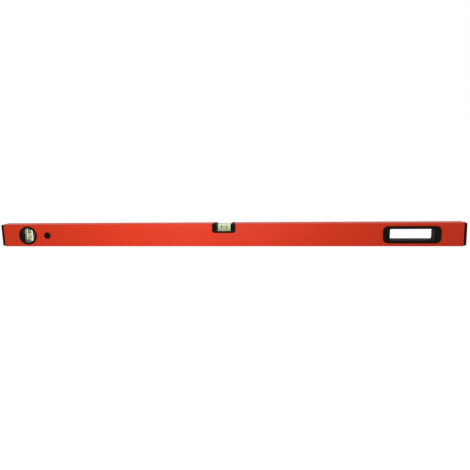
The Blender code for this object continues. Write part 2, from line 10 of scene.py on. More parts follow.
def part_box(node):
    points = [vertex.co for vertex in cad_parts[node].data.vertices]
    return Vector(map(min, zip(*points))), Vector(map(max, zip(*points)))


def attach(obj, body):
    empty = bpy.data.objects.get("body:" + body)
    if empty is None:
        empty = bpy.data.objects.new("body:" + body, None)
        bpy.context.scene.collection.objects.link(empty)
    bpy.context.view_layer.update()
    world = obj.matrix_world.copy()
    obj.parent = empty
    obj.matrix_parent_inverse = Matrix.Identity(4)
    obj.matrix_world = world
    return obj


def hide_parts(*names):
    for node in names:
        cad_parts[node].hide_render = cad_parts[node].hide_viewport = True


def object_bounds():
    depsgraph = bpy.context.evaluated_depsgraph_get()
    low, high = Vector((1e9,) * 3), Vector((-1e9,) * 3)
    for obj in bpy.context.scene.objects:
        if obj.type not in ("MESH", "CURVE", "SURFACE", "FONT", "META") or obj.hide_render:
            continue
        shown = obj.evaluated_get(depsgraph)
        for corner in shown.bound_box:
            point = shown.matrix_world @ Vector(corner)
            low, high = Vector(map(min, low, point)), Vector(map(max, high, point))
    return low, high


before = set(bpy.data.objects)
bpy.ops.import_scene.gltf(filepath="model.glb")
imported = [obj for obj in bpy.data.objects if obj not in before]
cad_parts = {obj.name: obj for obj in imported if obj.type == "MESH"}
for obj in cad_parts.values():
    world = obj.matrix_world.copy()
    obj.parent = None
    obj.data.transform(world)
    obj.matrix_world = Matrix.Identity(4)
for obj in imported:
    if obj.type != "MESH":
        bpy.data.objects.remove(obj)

bl_info = {
    "name": "Spirit Level",
    "version": (1, 0, 0),
    "blender": (4, 5, 0),
    "location": "View3D > Sidebar > Level",
    "description": "Dresses a box-section spirit level: painted beam, black mouldings and clear vials",
    "category": "Add Mesh",
}

CAD_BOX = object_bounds()
LEVEL = "level"

# How fine the curved parts are
ARC_STEPS = 6
RIM_SIDES = 120
BORE_SIDES = 64
BARREL_STEPS = 12
BUBBLE_RINGS = 28
SHARP = math.radians(32)

# A piece is drawn with x along its face, y up and z out of the face, then set into the level's frame
FACING_FRONT = Matrix(((1, 0, 0, 0), (0, 0, -1, 0), (0, 1, 0, 0), (0, 0, 0, 1)))
FACING_REAR = Matrix(((-1, 0, 0, 0), (0, 0, 1, 0), (0, 1, 0, 0), (0, 0, 0, 1)))
FACING_RIGHT = Matrix(((0, 0, 1, 0), (1, 0, 0, 0), (0, 1, 0, 0), (0, 0, 0, 1)))
FACING_LEFT = Matrix(((0, 0, -1, 0), (-1, 0, 0, 0), (0, 1, 0, 0), (0, 0, 0, 1)))
PLUG_DOWN = Matrix.Rotation(math.pi, 4, "X")
SIDES = (("front", FACING_FRONT), ("rear", FACING_REAR))

# How the vials bend light, and the depth that the liquid's colour is given for
ACRYLIC_IOR = 1.49
LIQUID_IOR = 1.4
SKIN_IOR = 1.001
LIQUID_SAMPLE = 0.01

# Small parts of the vials, and a small corner's round in edge rounds
LINE_THICK = 0.0003
STOPPER_EDGE = 0.0003
CORNER_SHARE = 1.5

# Finishes of a clear block's faces, and how little a moulded side looks to the front or the rear
WETTED_FACE = 1
MOULDED_FACE = 2
SIDEWAYS = 0.3

# Grain and roughness of the black mouldings
INSERT_GRAIN = 0.0004
CAP_GRAIN = 0.0006
SATIN = (0.55, 0.7)


# Settings that a user would change

def length(name, description, default):
    return FloatProperty(
        name=name, description=description, default=default, min=0, unit="LENGTH", precision=5
    )


def place(name, description, default):
    return FloatVectorProperty(
        name=name, description=description, default=default, size=3, subtype="TRANSLATION", unit="LENGTH"
    )


def turn(name, description, degrees):
    return FloatProperty(
        name=name, description=description, default=math.radians(degrees), subtype="ANGLE", unit="ROTATION"
    )


def share(name, description, default):
    return FloatProperty(
        name=name, description=description, default=default, min=0, max=1, subtype="FACTOR"
    )


def amount(name, description, default):
    return FloatProperty(name=name, description=description, default=default, min=0)


def colour(name, description, default):
    return FloatVectorProperty(
        name=name, description=description, default=default, size=3, min=0, max=1, subtype="COLOR"
    )


class BeamSizes(PropertyGroup):
    """Walls and rounds of the beam and of the caps that close its ends."""

    side_wall: length("Side wall", "Wall behind the painted side faces", 0.0015)
    edge_wall: length("Edge wall", "Wall behind the measuring faces", 0.0022)
    section_round: length("Section round", "Round on the four long edges", 0.001)
    cavity_round: length("Cavity round", "Round in the corners of the cavity", 0.0008)
    rib_rise: length("Rib rise", "How far a rib stands out of the side wall", 0.0018)
    rib_width: length("Rib width", "Thickness of a rib", 0.0016)
    rib_inset: length("Rib inset", "Rib centre from the nearer measuring face", 0.013)
    cap_head: length("Cap head", "Thickness of the head outside the beam", 0.006)
    cap_corner: length("Cap corner", "Round of the head's corners", 0.0016)
    cap_edge: length("Cap edge", "Round of the head's outer edge", 0.0012)
    cap_foot: length("Cap foot", "Round of the head's edge on the beam", 0.0004)
    cap_wall: length("Cap wall", "Wall of the hollow plug", 0.002)


class InsertSizes(PropertyGroup):
    """Mouldings that clip together through the beam."""

    clearance: length("Clearance", "Gap between pieces that seat on each other", 0.0003)
    flange: length("Flange", "Thickness of a flange", 0.0014)
    edge: length("Edge", "Round on a flange's edges", 0.0006)
    lip: length("Lip", "How far a flange's lip stands in from the wall behind it", 0.0004)
    plumb_window: length("Plumb window", "Radius of the round window", 0.016)
    plumb_skirt: length("Plumb skirt", "Wall round the plumb window", 0.0026)
    plumb_socket_wall: length("Plumb socket wall", "Wall left outside the vial's sockets", 0.001)
    plumb_spigot: length("Plumb spigot", "Lap of the two skirts", 0.0022)
    plumb_spigot_wall: length("Plumb spigot wall", "Thickness of the lapped lip", 0.0008)
    eye_bore: length("Eye bore", "Radius of the hanging hole", 0.005)
    eye_wall: length("Eye wall", "Wall of the hanging hole's lining", 0.0012)
    holder_round: length("Holder round", "Round of the U's outer corners", 0.006)
    holder_lap: length("Holder lap", "Flange of the U past the notch", 0.0018)
    holder_window: length("Holder window", "Clear width between the posts", 0.029)
    holder_sill: length("Holder sill", "Height of the U's foot", 0.0037)
    post_round: length("Post round", "Round on the posts' inner top corners", 0.002)
    sill_round: length("Sill round", "Round between a post and the sill", 0.0012)
    grip_window: length("Grip window", "Length of the hand opening", 0.089)
    grip_window_rise: length("Grip window rise", "Height of the hand opening", 0.024)
    grip_window_round: length("Grip window round", "Round of the hand opening's corners", 0.0025)
    grip_round: length("Grip round", "Round of the grip flange's corners", 0.0105)
    grip_lap: length("Grip lap", "Grip flange past the cut-out", 0.002)
    grip_sleeve: length("Grip sleeve", "Wall round the hand opening", 0.0022)
    grip_skirt: length("Grip skirt", "Wall inside the cut-out", 0.0018)
    grip_skirt_depth: length("Grip skirt depth", "Reach of the skirt into the beam", 0.007)


class VialSizes(PropertyGroup):
    """Clear blocks with a barrel-shaped bore."""

    sag: length("Sag", "How much a bore narrows towards its ends", 0.0003)
    edge: length("Edge", "Round on a block's edges", 0.0005)
    film: length("Film", "Gap that keeps the liquid's skin off the bore", 0.00002)
    fullness: amount("Fullness", "How square the ends of a bubble are; 2 is an ellipse", 2.8)


class LevelFinishes(PropertyGroup):
    """Colours of the level's finishes."""

    paint: colour("Paint", "Red powder coat", (0.69, 0.032, 0.0018))
    paint_deep: colour("Deep paint", "Powder coat where it lies thicker", (0.62, 0.026, 0.0014))
    paint_edge: colour("Edge paint", "Powder coat where it is thin on the long edges", (0.74, 0.05, 0.008))
    moulding: colour("Moulding", "Black of the inserts", (0.0055, 0.0038, 0.002))
    moulding_dull: colour(
        "Dull moulding", "Black of the inserts where the grain scatters light", (0.0095, 0.0068, 0.004)
    )
    cap: colour("Cap", "Black of the end caps", (0.0055, 0.0036, 0.0018))
    cap_dull: colour("Dull cap", "Black of the end caps where they are scuffed", (0.0105, 0.0075, 0.0045))
    centre_acrylic: colour("Centre acrylic", "Tinted block of the centre vial", (0.8, 0.88, 0.64))
    plumb_acrylic: colour("Plumb acrylic", "Clear block of the plumb vial", (0.97, 0.985, 0.975))
    plumb_frost: colour("Plumb frost", "Moulded sides of the plumb block", (0.5, 0.49, 0.53))
    centre_frost: colour("Centre frost", "Moulded foot of the centre block", (0.8, 0.92, 0.52))
    centre_liquid: colour(
        "Centre liquid", "What 10 mm of the centre vial's liquid lets through", (0.7, 0.78, 0.5)
    )
    plumb_liquid: colour(
        "Plumb liquid", "What 10 mm of the plumb vial's liquid lets through", (0.48, 0.49, 0.13)
    )
    line: colour("Line", "Gauge lines", (0.008, 0.008, 0.008))
    stopper: colour("Stopper", "Frosted stopper", (0.7, 0.72, 0.62))


class LevelStage(PropertyGroup):
    """Floor, light and camera."""

    camera_place: place("Camera place", "Where the camera stands", (0.13769, -1.09969, 0.22812))
    camera_yaw: turn("Camera yaw", "Turn to the right", -5.971)
    camera_dip: turn("Camera dip", "Tilt below the horizon", 10.53)
    camera_roll: turn("Camera roll", "Roll about the line of sight", -1.227)
    camera_lens: amount("Camera lens", "Focal length in millimetres on a 36 mm frame", 39.975)
    floor_gap: length("Floor gap", "Floor below the base face", 0.0004)
    floor_size: length("Floor size", "Side of the floor", 30)
    floor_colour: colour("Floor colour", "Pale floor", (0.85, 0.85, 0.85))
    floor_glow: share("Floor glow", "White that the seen floor keeps in a shadow", 0.88)
    floor_veil: share("Floor veil", "How much of the light the seen floor adds to its own white", 0.22)
    ambient: amount("Ambient", "Soft light from all round", 0.64)
    key_place: place("Key place", "Where the key lamp hangs", (-0.1, -0.45, 0.16))
    key_aim: place("Key aim", "What the key lamp looks at", (-0.1, 0, 0.02))
    key_size: length("Key size", "Side of the key lamp", 0.35)
    key_power: FloatProperty(
        name="Key power", description="Power of the key lamp in watts", default=1.25, min=0, unit="POWER"
    )


# Outlines and meshes

def rounded(corners, steps=ARC_STEPS):
    """Points through (x, y, radius) corners, with an arc at each corner that has a radius."""
    outline = []
    for index, (x, y, radius) in enumerate(corners):
        corner = Vector((x, y))
        if radius <= 0:
            outline.append((x, y))
            continue
        back = (Vector(corners[index - 1][:2]) - corner).normalized()
        ahead = (Vector(corners[(index + 1) % len(corners)][:2]) - corner).normalized()
        half_angle = back.angle(ahead) / 2
        centre = corner + (back + ahead).normalized() * radius / math.sin(half_angle)
        start = corner + back * radius / math.tan(half_angle) - centre
        end = corner + ahead * radius / math.tan(half_angle) - centre
        first = math.atan2(start.y, start.x)
        sweep = (math.atan2(end.y, end.x) - first + math.pi) % math.tau - math.pi
        for step in range(steps + 1):
            angle = first + sweep * step / steps
            outline.append((centre.x + radius * math.cos(angle), centre.y + radius * math.sin(angle)))
    return outline


def rounded_box(half_width, half_height, radius, middle=(0, 0)):
    """Rectangle with rounded corners."""
    left, right = middle[0] - half_width, middle[0] + half_width
    low, high = middle[1] - half_height, middle[1] + half_height
    return rounded([(x, y, radius) for x, y in ((left, low), (right, low), (right, high), (left, high))])


def cut_circle(half_width, radius):
    """Circle with its two sides cut off straight."""
    first = math.acos(half_width / radius)
    steps = 4 * ARC_STEPS + 1  # odd, so that no corner lies over the middle of the bore
    outline = []
    for start in (first, first + math.pi):
        for step in range(steps + 1):
            angle = start + (math.pi - 2 * first) * step / steps
            outline.append((radius * math.cos(angle), radius * math.sin(angle)))
    return outline


def circle(radius, sides):
    angles = [math.tau * (side + 0.5) / sides for side in range(sides)]
    return [(radius * math.cos(angle), radius * math.sin(angle)) for angle in angles]


def at_height(outline, z):
    return [(x, y, z) for x, y in outline]


def skin(loops, closed=False):
    """Mesh through loops of equally many points; a ring if closed, and otherwise capped at both ends."""
    shape = bmesh.new()
    rows = [[shape.verts.new(point) for point in loop] for loop in loops]
    pairs = list(zip(rows, rows[1:]))
    if closed:
        pairs.append((rows[-1], rows[0]))
    else:
        shape.faces.new(reversed(rows[0]))
        shape.faces.new(rows[-1])
    count = len(rows[0])
    for low, high in pairs:
        for index in range(count):
            after = (index + 1) % count
            shape.faces.new((low[index], low[after], high[after], high[index]))
    bmesh.ops.recalc_face_normals(shape, faces=shape.faces)
    mesh = bpy.data.meshes.new("shape")
    shape.to_mesh(mesh)
    shape.free()
    return mesh


def slab(outline, low, high):
    return skin([at_height(outline, low), at_height(outline, high)])


def soft_slab(outline_at, low, high, low_round, high_round):
    """Slab with rounded edges; outline_at gives the outline drawn in by a distance."""
    profile = []
    if low_round > 0:
        profile += rounded([(low_round * 2, low, 0), (0, low, low_round), (0, (low + high) / 2, 0)])[1:-1]
    else:
        profile.append((0, low))
    profile += rounded([(0, (low + high) / 2, 0), (0, high, high_round), (high_round * 2, high, 0)])[1:-1]
    return skin([at_height(outline_at(inset), z) for inset, z in profile])


def lathe(profile, sides, closed):
    """(radius, height) profile spun round Z; a ring if closed, and otherwise capped at both ends."""
    return skin([at_height(circle(radius, sides), z) for radius, z in profile], closed)


def moved(mesh, matrix):
    mesh.transform(matrix)
    if matrix.determinant() < 0:
        mesh.flip_normals()
    return mesh


def combined(mesh, operation, tool):
    """The mesh with the tool cut from it or joined on; both are used up."""
    pair = [bpy.data.objects.new("work", data) for data in (mesh, tool)]
    for made in pair:
        bpy.context.scene.collection.objects.link(made)
    step = pair[0].modifiers.new("combine", "BOOLEAN")
    step.operation = operation
    step.solver = "MANIFOLD"
    step.object = pair[1]
    graph = bpy.context.evaluated_depsgraph_get()
    result = bpy.data.meshes.new_from_object(pair[0].evaluated_get(graph))
    for made in pair:
        bpy.data.objects.remove(made)
    for data in (mesh, tool):
        bpy.data.meshes.remove(data)
    if not result.polygons:
        raise RuntimeError(f"{operation} left nothing")
    result.materials.clear()
    return result


def add_piece(name, mesh, materials, slot, body, *nodes):
    """Shows a mesh as one piece that stands for CAD nodes and rides on their body."""
    for material in materials:
        mesh.materials.append(material)
    mesh.name = name
    mesh.shade_smooth()
    mesh.set_sharp_from_angle(angle=SHARP)
    made = bpy.data.objects.new(name, mesh)
    bpy.context.scene.collection.objects.link(made)
    shading = made.modifiers.new("even_shading", "WEIGHTED_NORMAL")
    shading.keep_sharp = True
    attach(made, body)
    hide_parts(*nodes)
    return made


# Finishes

class Recipe:
    """Node tree of one finish. Patterns are drawn in the level's own frame, in metres."""

    def __init__(self, name):
        self.material = bpy.data.materials.new(name)
        self.material.use_nodes = True
        self.nodes = self.material.node_tree.nodes
        self.shader = self.nodes["Principled BSDF"]
        self.where = self.nodes.new("ShaderNodeTexCoord").outputs["Object"]

    def link(self, source, target):
        self.material.node_tree.links.new(source, target)

    def set(self, **values):
        """Sets plain values on the shader's own sockets; an underscore stands for a space."""
        for name, value in values.items():
            self.shader.inputs[name.replace("_", " ")].default_value = value

    def feed(self, socket, source):
        self.link(source, self.shader.inputs[socket])

    def noise(self, size, detail=2.0, stretch=(1, 1, 1)):
        """Noise with features of about the given size, longer along the axes with more stretch."""
        mapping = self.nodes.new("ShaderNodeMapping")
        mapping.inputs["Scale"].default_value = [1 / (size * factor) for factor in stretch]
        self.link(self.where, mapping.inputs["Vector"])
        node = self.nodes.new("ShaderNodeTexNoise")
        node.inputs["Scale"].default_value = 1
        node.inputs["Detail"].default_value = detail
        self.link(mapping.outputs["Vector"], node.inputs["Vector"])
        return node.outputs[0]

    def spread(self, source, low, high, from_low=0.3, from_high=0.7):
        """The pattern's usual range, brought to a range of values."""
        node = self.nodes.new("ShaderNodeMapRange")
        ends = {"From Min": from_low, "From Max": from_high, "To Min": low, "To Max": high}
        for name, value in ends.items():
            node.inputs[name].default_value = value
        self.link(source, node.inputs["Value"])
        return node.outputs["Result"]

    def math(self, operation, first, second=0.0):
        node = self.nodes.new("ShaderNodeMath")
        node.operation = operation
        for socket, value in zip(node.inputs, (first, second)):
            if isinstance(value, (int, float)):
                socket.default_value = value
            else:
                self.link(value, socket)
        return node.outputs[0]

    def blend(self, factor, first, second):
        """Colour between two colours, either of which may be a pattern."""
        node = self.nodes.new("ShaderNodeMix")
        node.data_type = "RGBA"
        self.link(factor, node.inputs[0])
        for socket, value in zip(node.inputs[6:8], (first, second)):
            if isinstance(value, bpy.types.NodeSocket):
                self.link(value, socket)
            else:
                socket.default_value = (*value, 1)
        return node.outputs[2]

    def bump(self, height, depth, strength=1.0):
        node = self.nodes.new("ShaderNodeBump")
        node.inputs["Strength"].default_value = strength
        node.inputs["Distance"].default_value = depth
        self.link(height, node.inputs["Height"])
        self.feed("Normal", node.outputs["Normal"])

    def edge_band(self, reach):
        """1 on the four long edges of the beam, falling to 0 within reach of them."""
        low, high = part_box("beam_profile")
        split = self.nodes.new("ShaderNodeSeparateXYZ")
        self.link(self.where, split.inputs[0])
        across = self.math("SUBTRACT", high.y, self.math("ABSOLUTE", split.outputs["Y"]))
        middle = (low.z + high.z) / 2
        off_middle = self.math("ABSOLUTE", self.math("SUBTRACT", split.outputs["Z"], middle))
        upright = self.math("SUBTRACT", high.z - middle, off_middle)
        return self.spread(self.math("MAXIMUM", across, upright), 1.0, 0.0, 0.0, reach)


def scaled(tint, factor):
    return [factor * part for part in tint]


def red_paint(colours):
    """Semi-gloss powder coat: orange peel, slow drift of the colour, thin coat on the long edges."""
    recipe = Recipe("red_powder_coat")
    drift = recipe.spread(recipe.noise(size=0.09, detail=3, stretch=(3, 1, 1)), 0, 1)
    speck = recipe.spread(recipe.noise(size=0.0011, detail=3), 0, 1)
    coat = recipe.blend(recipe.math("MULTIPLY", drift, 0.6), colours.paint, colours.paint_deep)
    coat = recipe.blend(recipe.math("MULTIPLY", speck, 0.25), coat, colours.paint_deep)
    patchy = recipe.spread(recipe.noise(size=0.004, detail=3), 0.2, 0.8)
    thin = recipe.math("MULTIPLY", recipe.edge_band(reach=0.0012), patchy)
    recipe.feed("Base Color", recipe.blend(thin, coat, colours.paint_edge))
    wiped = recipe.noise(size=0.006, detail=4, stretch=(14, 1, 1))
    recipe.feed("Roughness", recipe.spread(wiped, 0.42, 0.52))
    recipe.bump(recipe.noise(size=0.0013, detail=2), depth=0.00006, strength=0.2)
    recipe.set(Specular_IOR_Level=0.25)
    return recipe.material


def black_moulding(name, black, dull, grain):
    """Satin black plastic with the fine grain of an eroded mould and slow handling marks."""
    recipe = Recipe(name)
    fine = recipe.noise(size=grain, detail=3)
    marks = recipe.noise(size=0.008, detail=4, stretch=(2, 1, 1))
    worn = recipe.math("MULTIPLY", recipe.spread(fine, 0, 1), recipe.spread(marks, 0.4, 1))
    recipe.feed("Base Color", recipe.blend(worn, black, dull))
    recipe.feed("Roughness", recipe.spread(marks, *SATIN))
    recipe.bump(fine, depth=grain * 0.12, strength=0.5)
    recipe.set(Specular_IOR_Level=0.06)
    return recipe.material


def insert_black(colours):
    return black_moulding("black_insert_moulding", colours.moulding, colours.moulding_dull, INSERT_GRAIN)


def cap_black(colours):
    return black_moulding("black_cap_moulding", colours.cap, colours.cap_dull, CAP_GRAIN)


def clear(name, tint, ior, haze):
    """Polished clear plastic with faint haze and flow lines."""
    recipe = Recipe(name)
    flow = recipe.noise(size=0.006, detail=3, stretch=(1, 1, 3))
    recipe.feed("Base Color", recipe.blend(recipe.spread(flow, 0, 1), tint, scaled(tint, 0.985)))
    recipe.feed("Roughness", recipe.spread(recipe.noise(size=0.003, detail=3), 0, haze))
    recipe.bump(flow, depth=0.00002, strength=0.3)
    recipe.set(Transmission_Weight=1.0, IOR=ior)
    return recipe.material


def centre_acrylic(colours):
    return clear("centre_acrylic", colours.centre_acrylic, ACRYLIC_IOR, haze=0.02)


def plumb_acrylic(colours):
    return clear("plumb_acrylic", colours.plumb_acrylic, ACRYLIC_IOR, haze=0.02)


def bore_wall(colours):
    """Face of a block that the liquid wets: it bends light only by the ratio of the two."""
    return clear("wetted_bore", colours.plumb_acrylic, ACRYLIC_IOR / LIQUID_IOR, haze=0.01)


def centre_frost(colours):
    return frosted_side("centre_frost", colours.centre_frost)


def plumb_frost(colours):
    return frosted_side("plumb_frost", colours.plumb_frost)


def frosted_side(name, tint):
    """Sides of a block as the mould left them, which scatter the light that passes."""
    recipe = Recipe(name)
    frost = recipe.noise(size=0.0006, detail=3)
    recipe.feed("Base Color", recipe.blend(recipe.spread(frost, 0, 1), tint, scaled(tint, 0.9)))
    recipe.feed("Roughness", recipe.spread(frost, 0.55, 0.75))
    recipe.bump(frost, depth=0.00004, strength=0.4)
    recipe.set(Transmission_Weight=0.25, IOR=ACRYLIC_IOR)
    return recipe.material


def centre_spirit(colours):
    return vial_liquid("centre_spirit", colours.centre_liquid)


def plumb_spirit(colours):
    return vial_liquid("plumb_spirit", colours.plumb_liquid)


def vial_liquid(name, tint):
    """Tinted spirit. Its skin bends nothing, because the bore's wall already does."""
    recipe = Recipe(name)
    cloud = recipe.spread(recipe.noise(size=0.005, detail=2), 0.985, 1.0)
    recipe.feed("Base Color", recipe.blend(cloud, (0.98, 0.98, 0.96), (1, 1, 1)))
    recipe.set(Transmission_Weight=1.0, IOR=SKIN_IOR, Roughness=0.0)
    depth = [-math.log(part) / LIQUID_SAMPLE for part in tint]
    soak = recipe.nodes.new("ShaderNodeVolumeAbsorption")
    soak.inputs["Density"].default_value = max(depth)
    soak.inputs["Color"].default_value = (*[1 - part / max(depth) for part in depth], 1)
    recipe.link(soak.outputs["Volume"], recipe.nodes["Material Output"].inputs["Volume"])
    return recipe.material


def air_bubble(colours):
    """Air in the liquid: the light bends the other way round."""
    recipe = Recipe("air_bubble")
    glass = recipe.nodes.new("ShaderNodeBsdfGlass")
    glass.inputs["IOR"].default_value = 1 / LIQUID_IOR
    glass.inputs["Roughness"].default_value = 0.0
    cloud = recipe.spread(recipe.noise(size=0.002, detail=2), 0, 1)
    recipe.link(recipe.blend(cloud, (0.96, 0.98, 0.95), (1, 1, 1)), glass.inputs["Color"])
    recipe.link(glass.outputs[0], recipe.nodes["Material Output"].inputs["Surface"])
    recipe.nodes.remove(recipe.shader)
    return recipe.material


def gauge_black(colours):
    """Matt black line with a slightly uneven print."""
    recipe = Recipe("gauge_black")
    print_marks = recipe.spread(recipe.noise(size=0.0006, detail=3), 0, 1)
    recipe.feed("Base Color", recipe.blend(print_marks, colours.line, scaled(colours.line, 2)))
    recipe.feed("Roughness", recipe.spread(print_marks, 0.45, 0.6, 0, 1))
    return recipe.material


def frosted_stopper(colours):
    """Frosted plastic that lets some light through."""
    recipe = Recipe("frosted_stopper")
    frost = recipe.noise(size=0.0005, detail=4)
    tint = colours.stopper
    recipe.feed("Base Color", recipe.blend(recipe.spread(frost, 0, 1), tint, scaled(tint, 0.9)))
    recipe.feed("Roughness", recipe.spread(frost, 0.35, 0.55))
    recipe.bump(frost, depth=0.00003, strength=0.4)
    recipe.set(Transmission_Weight=0.3, IOR=ACRYLIC_IOR)
    return recipe.material


def finish(maker):
    """The material of a finish, made on first use."""
    if maker.__name__ not in finish.made:
        finish.made[maker.__name__] = maker(bpy.context.scene.level_finishes)
    return finish.made[maker.__name__]


finish.made = {}


# Shapes of the pieces

def middle_of(node):
    """Centre of a piece, moved onto the beam's middle plane."""
    low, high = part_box(node)
    return Matrix.Translation(((low.x + high.x) / 2, 0, (low.z + high.z) / 2))


def half_size(node):
    low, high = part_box(node)
    return (high - low) / 2


def cavity_outline(beam, margin):
    """Inside of the beam's section with its ribs, drawn in by a margin all round."""
    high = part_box("beam_profile")[1]
    wall = high.y - beam.side_wall - margin
    rib_tip = wall - beam.rib_rise
    rib_half = beam.rib_width / 2 + margin
    floor = beam.edge_wall + margin
    right_side = [(wall, floor, beam.cavity_round)]
    for rib in (beam.rib_inset, high.z - beam.rib_inset):
        right_side += [
            (wall, rib - rib_half, 0),
            (rib_tip, rib - rib_half, 0),
            (rib_tip, rib + rib_half, 0),
            (wall, rib + rib_half, 0),
        ]
    right_side.append((wall, high.z - floor, beam.cavity_round))
    left_side = [(-x, y, radius) for x, y, radius in reversed(right_side)]
    return rounded(right_side + left_side)


def beam_mesh(beam, insert):
    """Hollow section, cut through for the inserts."""
    low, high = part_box("beam_profile")
    middle = high.z / 2
    through = 2 * high.y
    bar = slab(rounded_box(high.y, middle, beam.section_round, (0, middle)), low.x, high.x)
    bar = combined(bar, "DIFFERENCE", slab(cavity_outline(beam, 0), low.x - through, high.x + through))
    bar = moved(bar, FACING_RIGHT)
    gap = insert.clearance
    grip = half_size("grip_front_shell")
    lap = insert.grip_lap
    grip_hole = rounded_box(grip.x - lap, grip.z - lap, insert.grip_round - lap)
    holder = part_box("centre_front_holder")
    notch_depth = high.z - holder[0].z - insert.holder_lap
    cuts = (
        ("plumb_front_housing", circle(insert.plumb_window + insert.plumb_skirt + gap, RIM_SIDES)),
        ("eye_front_bush", circle(insert.eye_bore + insert.eye_wall + gap, RIM_SIDES)),
        ("grip_front_shell", grip_hole),
    )
    for node, outline in cuts:
        tool = moved(slab(outline, -through, through), middle_of(node) @ FACING_FRONT)
        bar = combined(bar, "DIFFERENCE", tool)
    notch = rounded_box(
        holder[1].x - insert.holder_lap, notch_depth, insert.holder_round - insert.holder_lap, (0, high.z)
    )
    return combined(bar, "DIFFERENCE", moved(slab(notch, -through, through), FACING_FRONT))


def cap_mesh(node, facing, beam, insert):
    """Rounded head with a hollow plug that slides over the ribs inside the beam."""
    low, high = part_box(node)
    half_height = (high.z - low.z) / 2
    middle = (high.z + low.z) / 2
    face = max(-low.x, high.x)
    foot = face - beam.cap_head
    plug_end = min(abs(low.x), abs(high.x))

    def outline(inset):
        return rounded_box(high.y - inset, half_height - inset, beam.cap_corner - inset, (0, middle))

    head = soft_slab(outline, foot, face, beam.cap_foot, beam.cap_edge)
    outside = cavity_outline(beam, insert.clearance)
    inside = cavity_outline(beam, insert.clearance + beam.cap_wall)
    root = (face + foot) / 2
    walls = ((outside, plug_end), (outside, root), (inside, root), (inside, plug_end))
    plug = skin([at_height(outline, z) for outline, z in walls], closed=True)
    return moved(combined(head, "UNION", plug), facing)


def flange_heights(node, insert):
    """Front of a flange, its underside, and where the two halves meet, from the middle plane."""
    low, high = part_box(node)
    face = max(-low.y, high.y)
    return face, face - insert.flange, insert.clearance / 2


def depth_span(node, is_front):
    """Nearest and farthest depth of a node, along the way that a half looks."""
    low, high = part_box(node)
    return (-high.y, -low.y) if is_front else (low.y, high.y)


def plumb_half_mesh(node, is_front, insert):
    """Half of the round housing: rimmed flange on a skirt that laps the other half's skirt."""
    face, seat, plane = flange_heights(node, insert)
    window = insert.plumb_window
    skirt = window + insert.plumb_skirt
    rim = half_size(node).x
    wall = window + insert.lip
    step = skirt - insert.plumb_spigot_wall
    profile = [(window, face, insert.edge), (rim, face, insert.edge), (rim, seat, 0), (skirt, seat, 0)]
    if is_front:
        lap = -insert.plumb_spigot
    else:
        lap = insert.plumb_spigot + insert.clearance
        step -= insert.clearance
    profile += [(skirt, lap, 0), (step, lap, 0), (step, plane, 0), (wall, plane, 0)]
    profile += [(wall, seat, 0), (window, seat + insert.lip, 0)]
    shell = lathe(rounded(profile), RIM_SIDES, closed=True)
    block_half = half_size("plumb_vial_block").x
    pocket = cut_circle(block_half + insert.clearance, skirt - insert.plumb_socket_wall)
    near, far = depth_span("plumb_vial_block", is_front)
    return combined(shell, "DIFFERENCE", slab(pocket, near - insert.clearance, far + insert.clearance))


def eye_bush_mesh(node, insert):
    """Flanged lining of the hanging hole."""
    face, seat, plane = flange_heights(node, insert)
    outside = insert.eye_bore + insert.eye_wall
    rim = half_size(node).x
    profile = [
        (insert.eye_bore, face, insert.edge),
        (rim, face, insert.edge),
        (rim, seat, 0),
        (outside, seat, 0),
        (outside, plane, 0),
        (insert.eye_bore, plane, 0),
    ]
    return lathe(rounded(profile), RIM_SIDES, closed=True)


def holder_outline(insert, outer, inner, top_inset):
    """U that is open above the vial, drawn in from its outside, its window and its top."""
    low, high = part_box("centre_front_holder")
    side = high.x - outer
    top = high.z - top_inset
    window = insert.holder_window / 2 + inner
    sill = low.z + insert.holder_sill - inner
    right_side = [
        (side, low.z + outer, insert.holder_round - outer),
        (side, top, insert.edge * CORNER_SHARE - top_inset),
        (window, top, insert.post_round - inner),
        (window, sill, insert.sill_round + inner),
    ]
    left_side = [(-x, y, radius) for x, y, radius in reversed(right_side)]
    return rounded(right_side + left_side)


def holder_half_mesh(node, is_front, insert):
    """Half of the centre vial's holder: a U flange with posts that socket the vial block's ends."""
    face, seat, plane = flange_heights(node, insert)
    root = (face + seat) / 2
    body = soft_slab(lambda inset: holder_outline(insert, inset, inset, inset), seat, face, 0, insert.edge)
    gap = insert.clearance
    posts = holder_outline(insert, insert.holder_lap + gap, insert.lip, 0)
    body = combined(body, "UNION", slab(posts, plane, root))
    low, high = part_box("centre_vial_block")
    end = high.x + gap
    roof = high.z + gap
    pocket = [(-end, low.z - gap), (end, low.z - gap), (end, roof), (-end, roof)]
    near, far = depth_span("centre_vial_block", is_front)
    return combined(body, "DIFFERENCE", slab(pocket, near - gap, far + gap))


